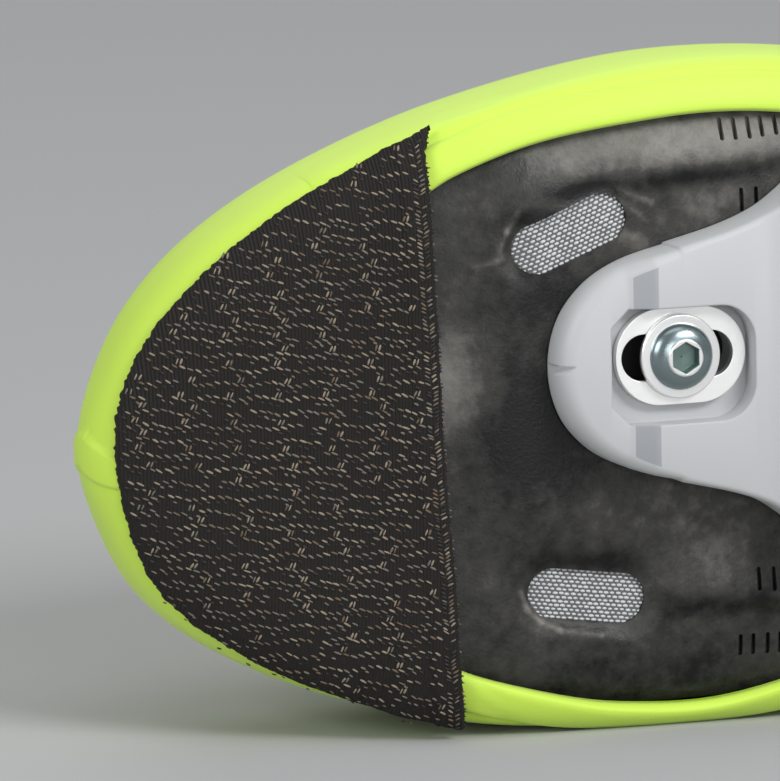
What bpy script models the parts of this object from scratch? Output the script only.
"""Left cycling overshoe on its shoe sole, lying on its inner side.

The overshoe is a thin closed sock of stretch fabric that follows a last. It has a cut-out under the forefoot
and one under the heel, so that the moulded sole, the cleat and the heel pad show through. A woven patch covers
the underside of the toe.

Each piece is modelled in the shoe's own frame, in metres: x runs from the heel (0) to the toe, y from the inner
side (0) to the outer side, and z up from the ground that a walking rider's cleat touches. One parent empty
then lays the whole shoe on its inner side.
"""

import math
from collections import namedtuple

import bmesh
import bpy
import numpy as np
from mathutils import Euler, Matrix, Vector

for old in list(bpy.data.objects):
    bpy.data.objects.remove(old, do_unlink=True)

# Driving sizes
LENGTH = 0.292
BALL_WIDTH = 0.105
COLLAR_HEIGHT = 0.192
TOE_SPRING = 0.022
CLEAT_HEIGHT = 0.0106

# Fabric and clearances
WALL = 0.0018
GAP = 0.0003
SOLE_CLEARANCE = 0.0011
HEM_WIDTH = 0.0063
HEM_RAISE = 0.0008
SEAM_WIDTH = 0.0034
SEAM_RAISE = 0.0007
CUFF_DEPTH = 0.025
CUFF_RAISE = 0.0008
EDGE_STEP = 0.0008
FLOOR_FLAT = 0.0006

# Toe patch
PATCH_THICKNESS = 0.0013
PATCH_SIDE_MARGIN = 0.0014
PATCH_TOE_MARGIN = 0.003
PATCH_BACK_MARGINS = (0.0007, 0.0014)
PATCH_BLEND = 0.028
PATCH_BACK_INNER = 0.815 * LENGTH
PATCH_BACK_OUTER = 0.834 * LENGTH

# Sole unit
SOLE_EDGE = 0.007
INSOLE_THICKNESS = 0.003
INSOLE_INSET = 0.0005
PLATFORM_HALF_WIDTH = 0.022
PLATFORM_BLEND = 0.006
VENT_LENGTH = 0.0195
VENT_WIDTH = 0.008
VENT_MESH_THICKNESS = 0.0008
VENT_MESH_DEPTH = 0.0016
BOWL_LENGTH = 0.036
BOWL_WIDTH = 0.0175
BOWL_DEPTH = 0.0016
HEEL_PAD_MARGIN = 0.0035
HEEL_PAD_CHAMFER = 0.0015
GROOVE_WIDTH = 0.0022
GROOVE_DEPTH = 0.0015

# Cleat, washers and bolts
CLEAT_LENGTH = 0.0725
CLEAT_WIDTH = 0.065
CLEAT_CHAMFER = 0.001
CLEAT_TURN = math.radians(0.8)
CLEAT_INWARD = 0.0013
NOSE_AHEAD = 0.0198
BOLT_ALONG = 0.6997 * LENGTH
BOLT_ACROSS = 0.5667 * BALL_WIDTH
REAR_BOLTS_BEHIND = 0.0325
REAR_BOLT_SPACING = 0.038
POCKET_BED = 0.004
POCKET_LENGTH = 0.0234
POCKET_WIDTH = 0.0183
FITTINGS_BACK = 0.0004
WASHER_LENGTH = 0.0218
WASHER_WIDTH = 0.0153
WASHER_THICKNESS = 0.0014
WASHER_SLOT_LENGTH = 0.019
WASHER_SLOT_WIDTH = 0.0074
CLEAT_SLOT_LENGTH = 0.014
CLEAT_SLOT_WIDTH = 0.0085
FLANGE_RADIUS = 0.00625
FLANGE_THICKNESS = 0.0008
DOME_RADIUS = 0.00495
DOME_HEIGHT = 0.0022
RING_RADIUS = 0.0028
SOCKET_ACROSS_FLATS = 0.004
SHANK_RADIUS = 0.0025
SHANK_IN_SOLE = 0.0028
REAR_SCALE = 0.82

SOLE_LOW = CLEAT_HEIGHT - WALL

# Sections of the last from the toe to the collar. The keel is the section's lowest line and the ridge its
# highest. keel_x and ridge_x are shares of LENGTH, tread of TOE_SPRING, climb and ridge_z of COLLAR_HEIGHT,
# inner, outer and middle of BALL_WIDTH, and widest of the section's height. low_power is how square the
# section is below its widest line.
Section = namedtuple("Section", "keel_x tread climb ridge_x ridge_z inner outer middle widest low_power")
LAST = [Section(*row) for row in (
    (1.0, 1.33, 0, 1.0, 0.198, 0.424, 0.424, 0.424, 0.50, 2.2),
    (0.9914, 1.036, 0, 0.9914, 0.241, 0.326, 0.528, 0.424, 0.45, 2.5),
    (0.9685, 0.81, 0, 0.9685, 0.279, 0.206, 0.648, 0.424, 0.425, 3.3),
    (0.9300, 0.54, 0, 0.9300, 0.313, 0.118, 0.757, 0.427, 0.385, 4.2),
    (0.8720, 0.275, 0, 0.8720, 0.337, 0.050, 0.858, 0.436, 0.335, 5.1),
    (0.7911, 0.064, 0, 0.7911, 0.364, 0.003, 0.945, 0.450, 0.30, 5.5),
    (0.6849, 0, 0, 0.6849, 0.408, -0.009, 1.001, 0.460, 0.28, 5.5),
    (0.5753, 0.055, 0, 0.5856, 0.474, 0.010, 0.990, 0.455, 0.25, 5.5),
    (0.4800, 0.218, 0, 0.5150, 0.541, 0.084, 0.918, 0.430, 0.23, 5.1),
    (0.3850, 0.309, 0, 0.4725, 0.604, 0.112, 0.826, 0.405, 0.22, 4.7),
    (0.2911, 0.218, 0, 0.4452, 0.654, 0.076, 0.752, 0.375, 0.225, 4.3),
    (0.2050, 0.045, 0, 0.4287, 0.693, 0.029, 0.717, 0.354, 0.242, 4.0),
    (0.1300, -0.070, 0, 0.4180, 0.727, 0.003, 0.695, 0.345, 0.28, 3.7),
    (0.0700, -0.090, 0, 0.4110, 0.757, -0.005, 0.688, 0.345, 0.325, 3.1),
    (0.0270, -0.090, 0.018, 0.4065, 0.783, -0.004, 0.686, 0.345, 0.37, 2.6),
    (0.0000, -0.090, 0.075, 0.4020, 0.811, 0.005, 0.684, 0.345, 0.42, 2.2),
    (-0.0068, -0.090, 0.190, 0.3975, 0.847, 0.016, 0.679, 0.345, 0.465, 2.0),
    (0.0090, -0.090, 0.350, 0.3930, 0.886, 0.023, 0.672, 0.345, 0.49, 2.0),
    (0.0340, -0.090, 0.540, 0.3895, 0.924, 0.028, 0.666, 0.345, 0.50, 2.0),
    (0.0540, -0.090, 0.750, 0.3872, 0.963, 0.030, 0.661, 0.345, 0.50, 2.0),
    (0.0616, -0.090, 0.950, 0.3870, 1.0, 0.030, 0.660, 0.345, 0.50, 2.0),
)]
TOP_POWER = 2.1

# Edges of the two cut-outs in plan: along is a share of LENGTH, inner and outer of BALL_WIDTH.
Edge = namedtuple("Edge", "along inner outer")
FRONT_CUT_OUT = [Edge(*row) for row in (
    (0.887, 0.448, 0.448),
    (0.882, 0.352, 0.571),
    (0.870, 0.267, 0.667),
    (0.853, 0.186, 0.752),
    (0.832, 0.130, 0.816),
    (0.805, 0.093, 0.856),
    (0.767, 0.064, 0.890),
    (0.719, 0.041, 0.912),
    (0.671, 0.036, 0.923),
    (0.623, 0.066, 0.915),
    (0.575, 0.110, 0.884),
    (0.541, 0.170, 0.832),
    (0.517, 0.257, 0.752),
    (0.503, 0.352, 0.648),
    (0.498, 0.476, 0.476),
)]
HEEL_CUT_OUT = [Edge(*row) for row in (
    (0.346, 0.410, 0.410),
    (0.341, 0.324, 0.496),
    (0.325, 0.248, 0.571),
    (0.312, 0.215, 0.608),
    (0.298, 0.186, 0.633),
    (0.253, 0.138, 0.640),
    (0.199, 0.110, 0.614),
    (0.144, 0.100, 0.590),
    (0.096, 0.124, 0.562),
    (0.068, 0.176, 0.505),
    (0.0565, 0.248, 0.429),
    (0.053, 0.343, 0.343),
)]

# Plain rings of the upper: stations along the toe in shares of LENGTH, and up the heel in rows of LAST
TOE_STATIONS = (0.9972, 0.9925, 0.9845, 0.9735, 0.9580, 0.9385, 0.9150)
BACK_ROWS = (14.4, 14.8, 15.25, 15.8, 16.4, 17.1, 17.8, 18.5)
# Turn from edge or keel (0) to the widest line (1), and on to the ridge (2), of the upper's free columns
LOW_COLUMNS = (0.0, 0.12, 0.24, 0.36, 0.47, 0.60, 0.78, 1.0)
SEAM_COLUMNS = (0.25, 0.40, 0.60, 0.80, 1.0)
PAST_HEM = (0.25, 0.50, 0.75, 1.0)
TOP_COLUMNS = (1.22, 1.44, 1.64, 1.80)

# The cleat from its nose: along is a share of CLEAT_LENGTH, half of CLEAT_WIDTH and level of CLEAT_HEIGHT.
CleatRow = namedtuple("CleatRow", "along half level")
CLEAT_ROWS = [CleatRow(*row) for row in (
    (0.0, 0.062, 0.49),
    (0.022, 0.125, 0.48),
    (0.055, 0.168, 0.46),
    (0.100, 0.212, 0.44),
    (0.156, 0.246, 0.42),
    (0.211, 0.266, 0.226),
    (0.268, 0.280, 0.226),
    (0.273, 0.287, 0.226),
    (0.380, 0.318, 0.226),
    (0.469, 0.354, 0.226),
    (0.530, 0.397, 0.10),
    (0.585, 0.450, 0.0),
    (0.625, 0.483, 0.0),
    (0.675, 0.500, 0.0),
    (0.786, 0.500, 0.0),
    (0.841, 0.462, 0.0),
    (0.883, 0.415, 0.0),
    (0.979, 0.400, 0.0),
    (1.0, 0.369, 0.04),
)]

# Vents in the sole: along and across are shares of LENGTH and BALL_WIDTH, turn is in degrees.
Vent = namedtuple("Vent", "name along across turn")
VENTS = (
    Vent("inner", 0.7414, 0.199, 7.0),
    Vent("outer", 0.7534, 0.750, -22.0),
)


# Materials
def material(name, colour, roughness, metallic=0.0):
    made = bpy.data.materials.new(name)
    made.use_nodes = True
    shader = made.node_tree.nodes["Principled BSDF"]
    shader.inputs["Base Color"].default_value = (*colour, 1.0)
    shader.inputs["Roughness"].default_value = roughness
    shader.inputs["Metallic"].default_value = metallic
    return made


NEON = material("neon_fabric", (0.60, 0.86, 0.02), 0.6)
WOVEN = material("woven_patch", (0.04, 0.038, 0.036), 0.85)
MOULDED = material("moulded_sole", (0.03, 0.03, 0.032), 0.4)
FOOTBED = material("footbed", (0.10, 0.10, 0.11), 0.9)
PAD_RUBBER = material("pad_rubber", (0.25, 0.26, 0.28), 0.7)
MESH = material("vent_mesh", (0.6, 0.6, 0.6), 0.5)
CLEAT_PLASTIC = material("cleat_plastic", (0.48, 0.50, 0.53), 0.45)
STEEL = material("steel", (0.75, 0.76, 0.78), 0.22, 1.0)


# The last: one smooth skin, read by a section number and a turn round the section
def section_values(row):
    """Split a row into values that mirror at the toe tip and values that change sign there."""
    keel_x = row.keel_x * LENGTH
    ridge_x = row.ridge_x * LENGTH
    keel_z = SOLE_LOW + row.tread * TOE_SPRING + row.climb * COLLAR_HEIGHT
    ridge_z = row.ridge_z * COLLAR_HEIGHT
    even = [(keel_x + ridge_x) / 2, (keel_z + ridge_z) / 2, row.middle * BALL_WIDTH, row.widest, row.low_power]
    odd = [(ridge_x - keel_x) / 2, (ridge_z - keel_z) / 2]
    odd += [(row.middle - row.inner) * BALL_WIDTH, (row.outer - row.middle) * BALL_WIDTH]
    return even, odd


EVEN = np.array([section_values(row)[0] for row in LAST])
ODD = np.array([section_values(row)[1] for row in LAST])
ODD[0] = 0.0
MIRRORED = np.hstack([EVEN[1], -ODD[1]])
ROWS = np.vstack([MIRRORED, np.hstack([EVEN, ODD])])
ROWS = np.vstack([ROWS, 2 * ROWS[-1] - ROWS[-2]])
LAST_ROW = len(LAST) - 1


def section(t):
    """Values of the section at row number t, on a smooth curve through the rows."""
    k = min(max(int(t), 0), LAST_ROW - 1)
    f = t - k
    before, start, end, after = ROWS[k:k + 4]
    bend = 2 * before - 5 * start + 4 * end - after
    return start + 0.5 * f * (end - before + f * (bend + f * (3 * (start - end) + after - before)))


def skin(t, w):
    """Point of the last: w is 0 at the keel, 1 or -1 at the widest line and 2 or -2 at the ridge."""
    if w > 2:
        w -= 4
    if w < -2:
        w += 4
    mid_x, mid_z, middle, widest, low_power, lean, half_height, inner, outer = section(t)
    low = abs(w) <= 1
    turn = (abs(w) if low else abs(w) - 1) * math.pi / 2
    power = low_power if low else TOP_POWER
    size = (math.sin(turn) ** power + abs(math.cos(turn)) ** power) ** (1 / power)
    across = math.sin(turn) / size
    up = abs(math.cos(turn)) / size
    if low:
        share = across
        rise = widest * (1 - up)
    else:
        share = up
        rise = widest + (1 - widest) * across
    reach = outer if w > 0 else -inner
    return Vector((mid_x + (2 * rise - 1) * lean, middle + share * reach, mid_z + (2 * rise - 1) * half_height))


def offset_skin(t, w, distance):
    """Point at a distance outside the last's skin, or inside it where the distance is negative."""
    if t < 0.01:
        return skin(t, w) + Vector((distance, 0, 0))
    along = skin(t + 0.004, w) - skin(t - 0.004, w)
    around = skin(t, w + 0.004) - skin(t, w - 0.004)
    return skin(t, w) + along.cross(around).normalized() * distance


def solve(function, low, high, target):
    """Argument between low and high where a rising function reaches the target."""
    for _ in range(26):
        middle = (low + high) / 2
        if function(middle) < target:
            low = middle
        else:
            high = middle
    return (low + high) / 2


def row_at(x, w=0.0):
    """Row number of the section whose point at turn w lies at x."""
    return solve(lambda t: -skin(t, w).x, 0.0, 14.6, -x)


def turn_at(t, y):
    """Turn, on the underside, of the point of section t at y."""
    if y >= skin(t, 0.0).y:
        return solve(lambda w: skin(t, w).y, 0.0, 1.0, y)
    return -solve(lambda w: -skin(t, -w).y, 0.0, 1.0, -y)


def under(x, y):
    """Row number and turn of the underside's point at x and y."""
    w = 0.0
    for _ in range(3):
        t = row_at(x, w)
        w = turn_at(t, y)
    return t, w


def smooth_step(value):
    value = min(max(value, 0.0), 1.0)
    return value * value * (3 - 2 * value)


# The cut-outs' edges on the skin, and the hem round them
class CutOut:
    def __init__(self, rows):
        self.rings = []
        for row in rows:
            t = row_at(row.along * LENGTH)
            inner = turn_at(t, row.inner * BALL_WIDTH)
            outer = turn_at(t, row.outer * BALL_WIDTH)
            self.rings.append((t, inner, outer))
        inner_side = [skin(t, inner) for t, inner, outer in self.rings]
        outer_side = [skin(t, outer) for t, inner, outer in self.rings]
        loop = np.array([tuple(point) for point in inner_side + outer_side[::-1]])
        self.starts = loop
        self.steps = np.roll(loop, -1, axis=0) - loop
        self.squares = np.maximum((self.steps ** 2).sum(axis=1), 1e-12)

    def distance(self, point):
        """Distance of a point from the cut-out's edge."""
        offset = np.array(tuple(point)) - self.starts
        share = np.clip((offset * self.steps).sum(axis=1) / self.squares, 0, 1)
        return float(np.sqrt(((offset - share[:, None] * self.steps) ** 2).sum(axis=1).min()))


FRONT = CutOut(FRONT_CUT_OUT)
HEEL = CutOut(HEEL_CUT_OUT)
HEM_FADE_FROM = PATCH_BACK_OUTER + 0.003
HEM_FADE_LENGTH = 0.006
CUFF_ROW = solve(lambda t: skin(t, 0.0).z, 16.0, LAST_ROW, skin(LAST_ROW, 0.0).z - CUFF_DEPTH)


def hem_raise(point):
    """Height of the folded hem over the skin. It ends under the toe patch."""
    distance = min(FRONT.distance(point), HEEL.distance(point))
    fade = 1 - smooth_step((point.x - HEM_FADE_FROM) / HEM_FADE_LENGTH)
    return HEM_RAISE * fade * smooth_step((HEM_WIDTH + EDGE_STEP / 2 - distance) / EDGE_STEP)


def arc_turn(t, start, way, distance, limit):
    """Turn that lies a distance along section t from the start turn, going the given way."""
    step = 0.02
    turn = start
    gone = 0.0
    here = skin(t, start)
    while gone < distance and abs(turn - start) < limit:
        there = skin(t, turn + way * step)
        gone += (there - here).length
        here = there
        turn += way * step
    return turn


def hem_turn(cut_out, t, edge, way, distance):
    """Turn at which section t leaves the hem, at a distance from the cut-out's edge."""
    turn = abs(edge)
    while turn < 0.99 and cut_out.distance(skin(t, way * turn)) < distance:
        turn += 0.01
    return turn


Ring = namedtuple("Ring", "t inner outer cut_out open")
# A finished ring of the upper: its row number and the turns of its columns, from edge to ridge to edge
Hoop = namedtuple("Hoop", "t turns open")


def upper_rings():
    """Rings of the upper from the toe to the collar, with their edges where a cut-out crosses them."""
    rings = [Ring(row_at(share * LENGTH), 0.0, 0.0, None, False) for share in TOE_STATIONS]
    rings += cut_out_rings(FRONT, hem_ahead=False)
    arch_start = skin(FRONT.rings[-1][0], 0.0).x
    arch_end = skin(HEEL.rings[0][0], 0.0).x
    for share in (0.35, 0.65):
        x = arch_start + share * (arch_end - arch_start)
        rings.append(Ring(row_at(x), 0.0, 0.0, None, False))
    rings += cut_out_rings(HEEL, hem_ahead=True)
    rings += [Ring(t, 0.0, 0.0, None, False) for t in BACK_ROWS if t < CUFF_ROW - 0.2]
    for t in (CUFF_ROW - 0.02, CUFF_ROW + 0.02, (CUFF_ROW + LAST_ROW) / 2, float(LAST_ROW)):
        rings.append(Ring(t, 0.0, 0.0, None, False))
    return rings


def cut_out_rings(cut_out, hem_ahead):
    """Rings through a cut-out, with closed rings at the hem's foot and top beyond its ends."""
    rings = []
    hem_steps = (HEM_WIDTH + EDGE_STEP / 2, HEM_WIDTH - EDGE_STEP / 2, HEM_WIDTH / 3)
    first = skin(cut_out.rings[0][0], 0.0).x
    last = skin(cut_out.rings[-1][0], 0.0).x
    if hem_ahead:
        rings += [Ring(row_at(first + step), 0.0, 0.0, cut_out, False) for step in hem_steps]
    final = len(cut_out.rings) - 1
    for number, (t, inner, outer) in enumerate(cut_out.rings):
        rings.append(Ring(t, inner, outer, cut_out, 0 < number < final))
    for step in hem_steps[::-1]:
        rings.append(Ring(row_at(last - step), 0.0, 0.0, cut_out, False))
    return rings


def side_columns(ring, way):
    """Turns of one side's columns from the edge or keel to the last column before the ridge."""
    t = ring.t
    edge = ring.outer if way > 0 else ring.inner
    if ring.cut_out is not None:
        top = hem_turn(ring.cut_out, t, edge, way, HEM_WIDTH - EDGE_STEP / 2)
        foot = hem_turn(ring.cut_out, t, edge, way, HEM_WIDTH + EDGE_STEP / 2)
        start = abs(edge) if edge * way > 0 else -abs(edge)
        top = max(top, start + 0.06)
        foot = max(foot, top + 0.03)
        low = [start, (start + top) / 2, top, foot]
        for share, plain in zip(PAST_HEM, LOW_COLUMNS[4:]):
            low.append(max(plain, foot + share * (1 - foot)))
    elif t > 14:
        seam_top = arc_turn(t, 0.0, 1, (SEAM_WIDTH - EDGE_STEP) / 2, 0.3)
        seam_foot = arc_turn(t, 0.0, 1, (SEAM_WIDTH + EDGE_STEP) / 2, 0.4)
        low = [0.0, seam_top, seam_foot] + list(SEAM_COLUMNS)
    else:
        low = list(LOW_COLUMNS)
    seam_top = abs(arc_turn(t, 2.0 * way, -way, (SEAM_WIDTH - EDGE_STEP) / 2, 0.12 if t > 0.9 else 0.10))
    seam_foot = abs(arc_turn(t, 2.0 * way, -way, (SEAM_WIDTH + EDGE_STEP) / 2, 0.18))
    seam_foot = min(seam_foot, seam_top - 0.02)
    return [way * turn for turn in low + list(TOP_COLUMNS) + [seam_foot, seam_top]]


def ring_columns(ring):
    """Turns all round a ring, from the outer edge over the ridge to the inner edge."""
    return side_columns(ring, 1) + [2.0] + side_columns(ring, -1)[::-1]


def outer_raise(t, w, column, columns):
    """Height over the skin of the hem, the front and back seams and the cuff."""
    from_ridge = abs(column - columns // 2)
    from_keel = min(column, columns - 1 - column)
    seam = SEAM_RAISE if from_ridge <= 1 else 0.0
    if t > 14 and from_keel <= 1:
        seam = SEAM_RAISE
    cuff = CUFF_RAISE if t > CUFF_ROW else 0.0
    return max(hem_raise(skin(t, w)), cuff) + seam * smooth_step(t / 0.5)


# The plane that the shoe lies on, as inner side against height
class Floor:
    def __init__(self, points, collar_points):
        touch = min(collar_points, key=lambda point: point.y)
        slopes = [(touch.y - point.y) / (touch.z - point.z) for point in points if touch.z - point.z > 0.02]
        self.slope = max(slopes)
        self.level = touch.y - self.slope * touch.z + FLOOR_FLAT

    def rest(self, point):
        """The point, pressed flat where it would reach below the floor."""
        return Vector((point.x, max(point.y, self.level + self.slope * point.z), point.z))


# Meshes
SHOE = bpy.data.objects.new("shoe", None)
bpy.context.collection.objects.link(SHOE)


def add_object(name, vertices, faces, finish, smooth_angle=None):
    """A closed mesh object under the shoe's empty, with its faces turned outwards."""
    mesh = bpy.data.meshes.new(name)
    mesh.from_pydata([tuple(vertex) for vertex in vertices], [], faces)
    work = bmesh.new()
    work.from_mesh(mesh)
    bmesh.ops.recalc_face_normals(work, faces=work.faces)
    work.to_mesh(mesh)
    work.free()
    if smooth_angle is not None:
        mesh.shade_smooth()
        mesh.set_sharp_from_angle(angle=math.radians(smooth_angle))
    made = bpy.data.objects.new(name, mesh)
    bpy.context.collection.objects.link(made)
    made.parent = SHOE
    if finish is None:
        made.hide_render = True
        made.display_type = "WIRE"
    else:
        mesh.materials.append(finish)
    return made


def loft(name, loops, finish, smooth_angle=None):
    """A closed solid through closed loops that all have the same number of points."""
    count = len(loops[0])
    vertices = [point for loop in loops for point in loop]
    faces = [list(range(count)), list(range(len(vertices) - count, len(vertices)))]
    for ring in range(len(loops) - 1):
        for step in range(count):
            a = ring * count + step
            b = ring * count + (step + 1) % count
            faces.append([a, b, b + count, a + count])
    return add_object(name, vertices, faces, finish, smooth_angle)


def prism(name, outline, low, high, finish):
    """An upright solid over a plan outline."""
    loops = [[Vector((x, y, z)) for x, y in outline] for z in (low, high)]
    return loft(name, loops, finish)


def stadium(length, width, steps=8):
    """Plan outline of a slot with round ends, along x."""
    outline = []
    for end in (1, -1):
        for step in range(steps + 1):
            angle = math.pi * (step / steps - 0.5)
            x = end * (length - width) / 2 + end * width / 2 * math.cos(angle)
            outline.append((x, end * width / 2 * math.sin(angle)))
    return outline


def cut(target, cutter):
    """Subtract a hidden cutter from a piece."""
    change = target.modifiers.new(cutter.name, "BOOLEAN")
    change.operation = "DIFFERENCE"
    change.object = cutter
    change.solver = "EXACT"


def place(made, x, y, turn):
    made.location = (x, y, 0.0)
    made.rotation_euler = Euler((0.0, 0.0, turn))


# Upper: an outer and an inner grid, joined at the collar and round the cut-outs
def build_upper():
    rings = [Hoop(ring.t, ring_columns(ring), ring.open) for ring in upper_rings()]
    count = len(rings[0].turns)
    outer = []
    inner = []
    for t, turns, _ in rings:
        outer.append([offset_skin(t, w, outer_raise(t, w, c, count)) for c, w in enumerate(turns)])
        inner.append([offset_skin(t, w, -WALL) for w in turns])
    floor = Floor([point for line in outer for point in line], outer[-1])
    outer = [[floor.rest(point) for point in line] for line in outer]
    vertices = [offset_skin(0.0, 0.0, SEAM_RAISE), offset_skin(0.0, 0.0, -WALL)]
    outer_index = []
    inner_index = []
    for lines, index in ((outer, outer_index), (inner, inner_index)):
        for ring, line in zip(rings, lines):
            first = len(vertices)
            numbers = list(range(first, first + count))
            if not ring.open:
                numbers[-1] = first
                line = line[:-1]
            vertices += line
            index.append(numbers)
    faces = []
    for index, pole in ((outer_index, 0), (inner_index, 1)):
        for c in range(count - 1):
            faces.append([pole, index[0][c], index[0][c + 1]])
        for r in range(len(rings) - 1):
            for c in range(count - 1):
                faces.append([index[r][c], index[r + 1][c], index[r + 1][c + 1], index[r][c + 1]])
    for c in range(count - 1):
        faces.append([outer_index[-1][c], outer_index[-1][c + 1], inner_index[-1][c + 1], inner_index[-1][c]])
    for r in range(len(rings) - 1):
        if rings[r].open or rings[r + 1].open:
            for c in (0, -1):
                faces.append([outer_index[r][c], outer_index[r + 1][c], inner_index[r + 1][c], inner_index[r][c]])
    faces = [list(dict.fromkeys(face)) for face in faces]
    add_object("overshoe_upper", vertices, faces, NEON, 40)
    return rings, floor


# Toe patch: a woven sheet over the underside of the toe and the front of the cut-out
def patch_outline():
    """The toe's outline in plan, drawn in by the patch's margins: x, inner y and outer y lists."""
    sides = []
    for way in (-1, 1):
        side = []
        for step in range(90):
            t = 0.06 + step * 0.07
            here = skin(t, way * 1.0)
            ahead = skin(t + 0.01, way * 1.0)
            slope = Vector((ahead.x - here.x, ahead.y - here.y)).normalized()
            normal = Vector((-slope.y * way, slope.x * way))
            if normal.y * way < 0:
                normal = -normal
            back = PATCH_BACK_MARGINS[0 if way < 0 else 1]
            margin = back + (PATCH_SIDE_MARGIN - back) * smooth_step((here.x - PATCH_BACK_OUTER) / PATCH_BLEND)
            margin += (PATCH_TOE_MARGIN - margin) * normal.x ** 2
            side.append((here.x - normal.x * margin, here.y - normal.y * margin))
        side.sort()
        sides.append(np.array(side))
    return sides


def build_patch():
    inner_side, outer_side = patch_outline()
    tip = min(inner_side[:, 0].max(), outer_side[:, 0].max())
    rows = 13
    columns = 14
    low = []
    high = []
    for row in range(rows):
        back = (row / (rows - 1)) ** 1.6
        inner_x = tip + back * (PATCH_BACK_INNER - tip)
        outer_x = tip + back * (PATCH_BACK_OUTER - tip)
        inner_y = np.interp(inner_x, inner_side[:, 0], inner_side[:, 1])
        outer_y = np.interp(outer_x, outer_side[:, 0], outer_side[:, 1])
        low_line = []
        high_line = []
        for column in range(columns + 1):
            share = 0.5 - 0.5 * math.cos(math.pi * column / columns)
            x = inner_x + share * (outer_x - inner_x)
            t, w = under(x, inner_y + share * (outer_y - inner_y))
            lift = GAP + HEM_RAISE * (1 - smooth_step((x - HEM_FADE_FROM) / HEM_FADE_LENGTH))
            low_line.append(offset_skin(t, w, lift))
            high_line.append(offset_skin(t, w, lift + PATCH_THICKNESS))
        low.append(low_line)
        high.append(high_line)
    add_sheet("toe_patch", low, high, WOVEN)


def add_sheet(name, low, high, finish):
    """A closed sheet between two grids of points."""
    loops = [line + other[::-1] for line, other in zip(low, high)]
    count = len(low[0])
    sheet_loops = len(loops)
    vertices = [point for loop in loops for point in loop]
    faces = []
    size = 2 * count
    for r in range(sheet_loops - 1):
        for step in range(size):
            a = r * size + step
            b = r * size + (step + 1) % size
            faces.append([a, b, b + size, a + size])
    for first in (0, (sheet_loops - 1) * size):
        for step in range(count - 1):
            faces.append([first + step, first + step + 1, first + size - 2 - step, first + size - 1 - step])
    return add_object(name, vertices, faces, finish, 40)


# Outsole: the moulded plate inside the upper, with a flat platform for the cleat
def inside_point(hoop, w, inset=0.0):
    """Point just inside the upper, on the same facets as its columns."""
    depth = -WALL - SOLE_CLEARANCE - inset
    way = 1 if w > 0 else -1
    half = len(hoop.turns) // 2
    side = hoop.turns[:half] if w > 0 else [-turn for turn in hoop.turns[:half:-1]]
    if abs(w) <= side[0]:
        return offset_skin(hoop.t, w, depth)
    place_before = max(k for k in range(half - 1) if side[k] <= abs(w))
    before = side[place_before]
    after = side[place_before + 1]
    share = (abs(w) - before) / (after - before)
    return offset_skin(hoop.t, way * before, depth).lerp(offset_skin(hoop.t, way * after, depth), share)


def sole_point(hoop, w):
    """Point of the sole's underside, drawn down to the cleat's platform."""
    return platform_point(inside_point(hoop, w), w)


def underside(x, y):
    """Point of the sole's underside at x and y."""
    t, w = under(x, y)
    return platform_point(offset_skin(t, w, -WALL - SOLE_CLEARANCE), w)


def platform_point(point, w):
    pad = CLEAT_HEIGHT + GAP
    ahead = BOLT_ALONG + NOSE_AHEAD + PLATFORM_BLEND
    behind = BOLT_ALONG + NOSE_AHEAD - CLEAT_LENGTH + PLATFORM_BLEND
    side = smooth_step((PLATFORM_HALF_WIDTH + PLATFORM_BLEND - abs(point.y - BOLT_ACROSS)) / PLATFORM_BLEND)
    front = smooth_step((ahead - point.x) / PLATFORM_BLEND)
    back = smooth_step((point.x - behind) / PLATFORM_BLEND)
    weight = side * front * back
    if abs(w) < 0.8 and weight > 0:
        point.z += weight * (pad - point.z)
    return point


def rim_turn(hoop, way, height):
    """Turn at which the sole's side reaches a height over the keel."""
    base = skin(hoop.t, 0.0).z
    return solve(lambda w: inside_point(hoop, way * w).z, 0.02, 0.99, base + height)


def hoops_between(rings, first_share, last_row):
    """The upper's rings that a piece inside it follows."""
    return [hoop for hoop in rings if row_at(first_share * LENGTH) < hoop.t < last_row]


def build_outsole(rings):
    shares = (-1, -0.88, -0.76, -0.64, -0.5, -0.35, -0.18, 0, 0.18, 0.35, 0.5, 0.64, 0.76, 0.88, 1)
    loops = []
    for hoop in hoops_between(rings, 0.986, 14.5):
        inner = rim_turn(hoop, -1, SOLE_EDGE)
        outer = rim_turn(hoop, 1, SOLE_EDGE)
        loops.append([sole_point(hoop, share * (outer if share > 0 else inner)) for share in shares])
    sole = loft("outsole", loops, MOULDED, 35)
    plate_top = CLEAT_HEIGHT + SOLE_EDGE
    for vent in VENTS:
        x = vent.along * LENGTH
        y = vent.across * BALL_WIDTH
        low = underside(x, y).z
        turn = math.radians(vent.turn)
        hole = prism("vent_hole_" + vent.name, stadium(VENT_LENGTH, VENT_WIDTH), low - 0.01, plate_top + 0.01, None)
        place(hole, x, y, turn)
        bowl = ellipsoid("vent_bowl_" + vent.name, BOWL_LENGTH, BOWL_WIDTH, BOWL_DEPTH)
        place(bowl, x, y, turn)
        bowl.location.z = low - 0.0001
        cut(sole, bowl)
        cut(sole, hole)
        outline = stadium(VENT_LENGTH - 2 * GAP, VENT_WIDTH - 2 * GAP)
        base = low + VENT_MESH_DEPTH
        plate = prism("vent_mesh_" + vent.name, outline, base, base + VENT_MESH_THICKNESS, MESH)
        place(plate, x, y, turn)
    for x, y, scale in bolt_places():
        depth = CLEAT_HEIGHT + SHANK_IN_SOLE + 2 * GAP
        hole = prism("bolt_hole", circle(SHANK_RADIUS + GAP, 12), CLEAT_HEIGHT - 0.002, depth, None)
        place(hole, x, y, -CLEAT_TURN)
        cut(sole, hole)
    return sole


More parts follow.
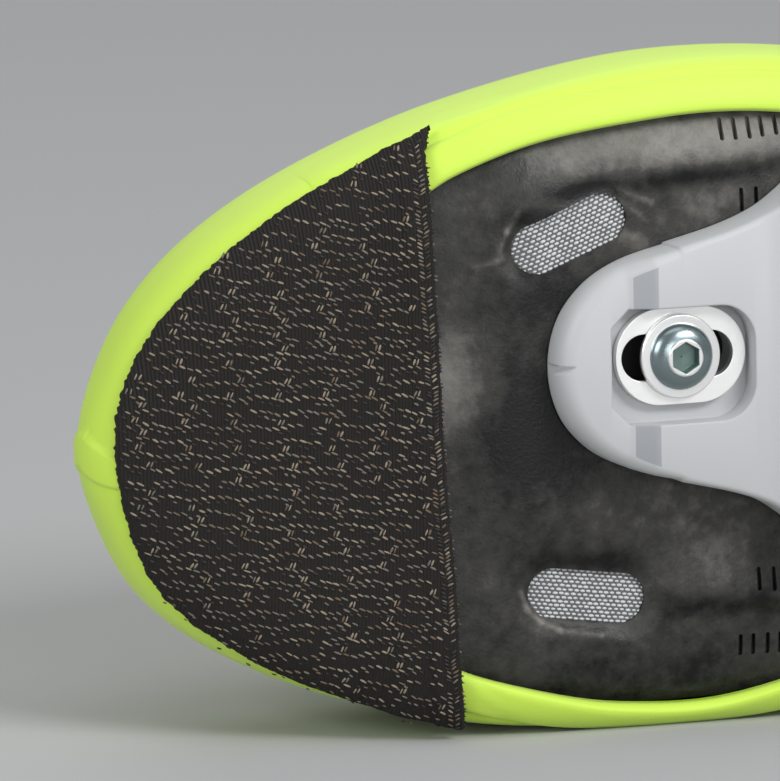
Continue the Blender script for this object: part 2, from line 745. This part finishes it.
def ellipsoid(name, length, width, depth):
    """A flat dish cutter with its middle at its origin, twice as deep as the dish."""
    loops = []
    for step in range(1, 8):
        angle = math.pi * step / 8
        z = -depth * math.cos(angle)
        size = math.sin(angle)
        loops.append([Vector((x * length / 2 * size, y * width / 2 * size, z)) for x, y in circle(1.0, 20)])
    return loft(name, loops, None)


def circle(radius, steps):
    angles = [2 * math.pi * step / steps for step in range(steps)]
    return [(radius * math.cos(angle), radius * math.sin(angle)) for angle in angles]


# Insole: a thin footbed over the plate
def build_insole(rings):
    loops = []
    for hoop in hoops_between(rings, 0.972, 14.2):
        loop = []
        for way in (-1, 1):
            ends = []
            for height in (SOLE_EDGE + GAP, SOLE_EDGE + GAP + INSOLE_THICKNESS):
                ends.append(inside_point(hoop, way * rim_turn(hoop, way, height), INSOLE_INSET))
            loop += ends if way < 0 else ends[::-1]
        loops.append(loop)
    loft("insole", loops, FOOTBED, 35)


# Heel pad: a rubber block that stands on the ground with the cleat
def build_heel_pad():
    loops = []
    for row in HEEL_CUT_OUT[2:-2]:
        inner = row.inner * BALL_WIDTH + HEEL_PAD_MARGIN
        outer = row.outer * BALL_WIDTH - HEEL_PAD_MARGIN
        x = row.along * LENGTH
        top = []
        for share in (1, 0.75, 0.5, 0.25, 0):
            y = inner + share * (outer - inner)
            top.append(Vector((x, y, underside(x, y).z - SOLE_CLEARANCE)))
        low = [Vector((x, inner, HEEL_PAD_CHAMFER))]
        low.append(Vector((x, inner + HEEL_PAD_CHAMFER, 0.0)))
        low.append(Vector((x, outer - HEEL_PAD_CHAMFER, 0.0)))
        low.append(Vector((x, outer, HEEL_PAD_CHAMFER)))
        loops.append(low + top)
    pad = loft("heel_pad", loops, PAD_RUBBER)
    front = HEEL_CUT_OUT[2].along * LENGTH
    back = HEEL_CUT_OUT[-3].along * LENGTH
    for share in (0.25, 0.5, 0.75):
        x = front + share * (back - front)
        outline = [(x, -0.01), (x + GROOVE_WIDTH, -0.01), (x + GROOVE_WIDTH, BALL_WIDTH), (x, BALL_WIDTH)]
        cut(pad, prism("heel_groove", outline, -0.001, GROOVE_DEPTH, None))


# Cleat with its washers and bolts
def bolt_places():
    """Plan place of each bolt and the scale of its fittings, front bolt first."""
    places = [(BOLT_ALONG, BOLT_ACROSS, 1.0)]
    for way in (-1, 1):
        back = Vector((-REAR_BOLTS_BEHIND, way * REAR_BOLT_SPACING / 2))
        back.rotate(Matrix.Rotation(-CLEAT_TURN, 2))
        places.append((BOLT_ALONG + back.x, BOLT_ACROSS + back.y, REAR_SCALE))
    return places


def build_cleat():
    loops = []
    for row in CLEAT_ROWS:
        x = NOSE_AHEAD - row.along * CLEAT_LENGTH
        half = row.half * CLEAT_WIDTH
        low = row.level * CLEAT_HEIGHT
        inset = half - CLEAT_CHAMFER
        side = [(half, CLEAT_HEIGHT), (half, low + CLEAT_CHAMFER), (inset, low)]
        loop = [Vector((x, -y, z)) for y, z in side] + [Vector((x, y, z)) for y, z in side[::-1]]
        loops.append(loop)
    cleat = loft("cleat", loops, CLEAT_PLASTIC)
    place(cleat, BOLT_ALONG, BOLT_ACROSS - CLEAT_INWARD, -CLEAT_TURN)
    names = ("front", "rear_inner", "rear_outer")
    bed = CLEAT_HEIGHT - POCKET_BED
    for name, (x, y, scale) in zip(names, bolt_places()):
        outline = pocket_outline(POCKET_LENGTH * scale, POCKET_WIDTH * scale)
        pocket = prism("pocket_" + name, outline, -0.001, bed, None)
        place(pocket, x - FITTINGS_BACK, y - CLEAT_INWARD * scale, -CLEAT_TURN)
        slot_outline = stadium(CLEAT_SLOT_LENGTH * scale, CLEAT_SLOT_WIDTH * scale)
        slot = prism("slot_" + name, slot_outline, -0.001, CLEAT_HEIGHT + 0.001, None)
        place(slot, x, y, -CLEAT_TURN)
        cut(cleat, pocket)
        cut(cleat, slot)
        build_washer(name, x, y, scale, bed - GAP)
        build_bolt(name, x, y, scale, bed - 2 * GAP - WASHER_THICKNESS)


def pocket_outline(length, width):
    """A pocket with cut corners toward the nose and round corners toward the heel."""
    bevel = width * 0.16
    radius = width * 0.3
    ahead = length / 2
    side = width / 2
    outline = [(ahead, side - bevel), (ahead - bevel, side)]
    for way in (1, -1):
        for step in range(5):
            angle = math.pi / 2 * step / 4
            if way < 0:
                angle = math.pi / 2 - angle
            x = -ahead + radius - radius * math.sin(angle)
            outline.append((x, way * (side - radius + radius * math.cos(angle))))
    outline += [(ahead - bevel, -side), (ahead, -side + bevel)]
    return outline


def build_washer(name, x, y, scale, top):
    outline = stadium(WASHER_LENGTH * scale, WASHER_WIDTH * scale)
    washer = prism("washer_" + name, outline, top - WASHER_THICKNESS, top, STEEL)
    place(washer, x - FITTINGS_BACK, y, -CLEAT_TURN)
    slot_outline = stadium(WASHER_SLOT_LENGTH * scale, WASHER_SLOT_WIDTH * scale)
    slot = prism("washer_slot_" + name, slot_outline, top - WASHER_THICKNESS - 0.001, top + 0.001, None)
    place(slot, x - FITTINGS_BACK, y, -CLEAT_TURN)
    cut(washer, slot)


def build_bolt(name, x, y, scale, seat):
    """A flanged button-head bolt with a hex socket, head down, its flange's upper face at the seat."""
    flange = FLANGE_RADIUS * scale
    dome = DOME_RADIUS * scale
    ring = RING_RADIUS * scale
    low = seat - FLANGE_THICKNESS - DOME_HEIGHT
    hexagon = SOCKET_ACROSS_FLATS * scale / 2
    steps = 18 if scale == 1.0 else 12
    profile = (
        (hexagon, low + 0.0018, True),
        (hexagon, low, True),
        (ring, low, False),
        (ring + 0.0003, low + 0.0004, False),
        (dome * 0.84, low + 0.0009, False),
        (dome, low + 0.0018, False),
        (dome, seat - FLANGE_THICKNESS, False),
        (flange, seat - FLANGE_THICKNESS, False),
        (flange, seat, False),
        (SHANK_RADIUS, seat, False),
        (SHANK_RADIUS, CLEAT_HEIGHT + SHANK_IN_SOLE, False),
    )
    loops = []
    for radius, z, flat_sided in profile:
        loop = []
        for step in range(steps):
            angle = 2 * math.pi * step / steps
            reach = radius
            if flat_sided:
                reach = radius / math.cos((angle + math.pi / 6) % (math.pi / 3) - math.pi / 6)
            loop.append(Vector((reach * math.cos(angle), reach * math.sin(angle), z)))
        loops.append(loop)
    bolt = loft("bolt_" + name, loops, STEEL, 30)
    place(bolt, x, y, -CLEAT_TURN)


# Lay the shoe on its inner side: the toe points to -X, the underside to -Y and the outer side up
def lay_down(floor):
    turn = Matrix(((-1, 0, 0, 0), (0, 0, 1, 0), (0, 1, 0, 0), (0, 0, 0, 1)))
    level = Matrix.Rotation(-math.atan(floor.slope), 4, "X")
    SHOE.matrix_world = level @ turn
    bpy.context.view_layer.update()
    corners = []
    for made in bpy.data.objects:
        if made.type == "MESH" and not made.hide_render:
            corners += [made.matrix_world @ vertex.co for vertex in made.data.vertices]
    low = Vector([min(corner[axis] for corner in corners) for axis in range(3)])
    high = Vector([max(corner[axis] for corner in corners) for axis in range(3)])
    shift = Vector((-(low.x + high.x) / 2, -(low.y + high.y) / 2, -low.z))
    SHOE.matrix_world = Matrix.Translation(shift) @ level @ turn
    bpy.context.view_layer.update()


upper_ring_list, floor_plane = build_upper()
build_patch()
build_outsole(upper_ring_list)
build_insole(upper_ring_list)
build_heel_pad()
build_cleat()
lay_down(floor_plane)
